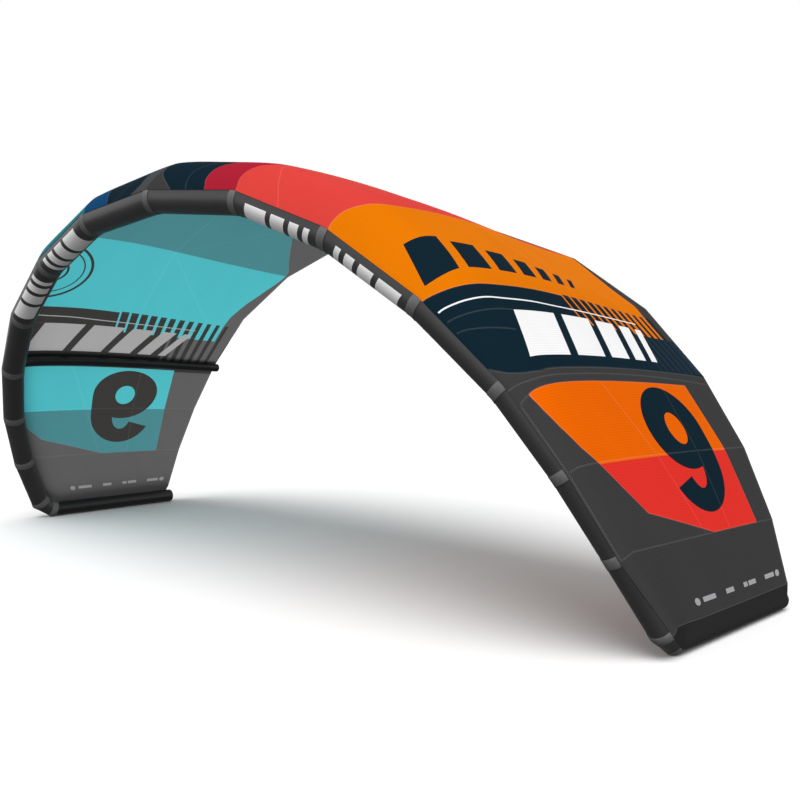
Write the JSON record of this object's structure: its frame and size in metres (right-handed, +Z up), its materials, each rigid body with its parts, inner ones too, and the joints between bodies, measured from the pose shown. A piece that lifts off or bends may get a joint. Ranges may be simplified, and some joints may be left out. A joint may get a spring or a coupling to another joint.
{
  "type": "kitesurfing kite",
  "caption": "Inflatable arched kitesurfing kite with a leading edge tube, struts and a coloured canopy, standing on its wing tips.",
  "frame": {"origin": "middle of the kite's outline on the ground that it stands on", "axes": "+X to the wing tip that is the right one when the kite is seen from the front, +Y back from the leading edge to the trailing edge, +Z up"},
  "size_m": [4.3182, 1.6336, 1.8138],
  "materials": {
    "canopy_navy": "smooth ripstop polyester",
    "canopy_coral": "smooth ripstop polyester",
    "canopy_orange": "smooth ripstop polyester",
    "canopy_light_orange": "smooth ripstop polyester",
    "canopy_charcoal": "smooth ripstop polyester",
    "canopy_teal": "smooth ripstop polyester",
    "canopy_dark_teal": "smooth ripstop polyester",
    "canopy_grey": "smooth ripstop polyester",
    "tube_charcoal": "matte woven polyester",
    "tape_grey": "matte woven tape",
    "tube_black": "matte woven polyester"
  },
  "bodies": {
    "root": {"sleeve_r1": "tube_charcoal", "canopy_r1": "canopy_navy", "sleeve_l1": "tube_charcoal", "canopy_l1": "canopy_navy", "sleeve_r2": "tube_charcoal", "canopy_r2": "canopy_coral", "sleeve_l2": "tube_charcoal", "canopy_l2": "canopy_dark_teal", "sleeve_r3": "tube_charcoal", "canopy_r3": "canopy_orange", "sleeve_l3": "tube_charcoal", "canopy_l3": "canopy_teal", "sleeve_r4": "tube_charcoal", "canopy_r4": "canopy_navy", "sleeve_l4": "tube_charcoal", "canopy_l4": "canopy_charcoal", "sleeve_r5": "tube_charcoal", "canopy_r5": "canopy_light_orange", "sleeve_l5": "tube_charcoal", "canopy_l5": "canopy_teal", "sleeve_r6": "tube_charcoal", "canopy_r6": "canopy_coral", "sleeve_l6": "tube_charcoal", "canopy_l6": "canopy_dark_teal", "sleeve_r7": "tube_charcoal", "canopy_r7": "canopy_charcoal", "sleeve_l7": "tube_charcoal", "canopy_l7": "canopy_grey", "elbow_r": "tube_charcoal", "canopy_r8": "canopy_charcoal", "tip_tube_r": "tube_black", "strut_r": "tube_black", "tape_r1": "tape_grey", "tape_r2": "tape_grey", "tape_r3": "tape_grey", "tape_r4": "tape_grey", "tape_r5": "tape_grey", "tape_r6": "tape_grey", "tape_r7": "tape_grey", "tape_r8": "tape_grey", "elbow_l": "tube_charcoal", "canopy_l8": "canopy_grey", "tip_tube_l": "tube_black", "strut_l": "tube_black", "tape_l1": "tape_grey", "tape_l2": "tape_grey", "tape_l3": "tape_grey", "tape_l4": "tape_grey", "tape_l5": "tape_grey", "tape_l6": "tape_grey", "tape_l7": "tape_grey", "tape_l8": "tape_grey", "tape_center": "tape_grey", "strut_center": "tube_black"}
  },
  "joints": []
}
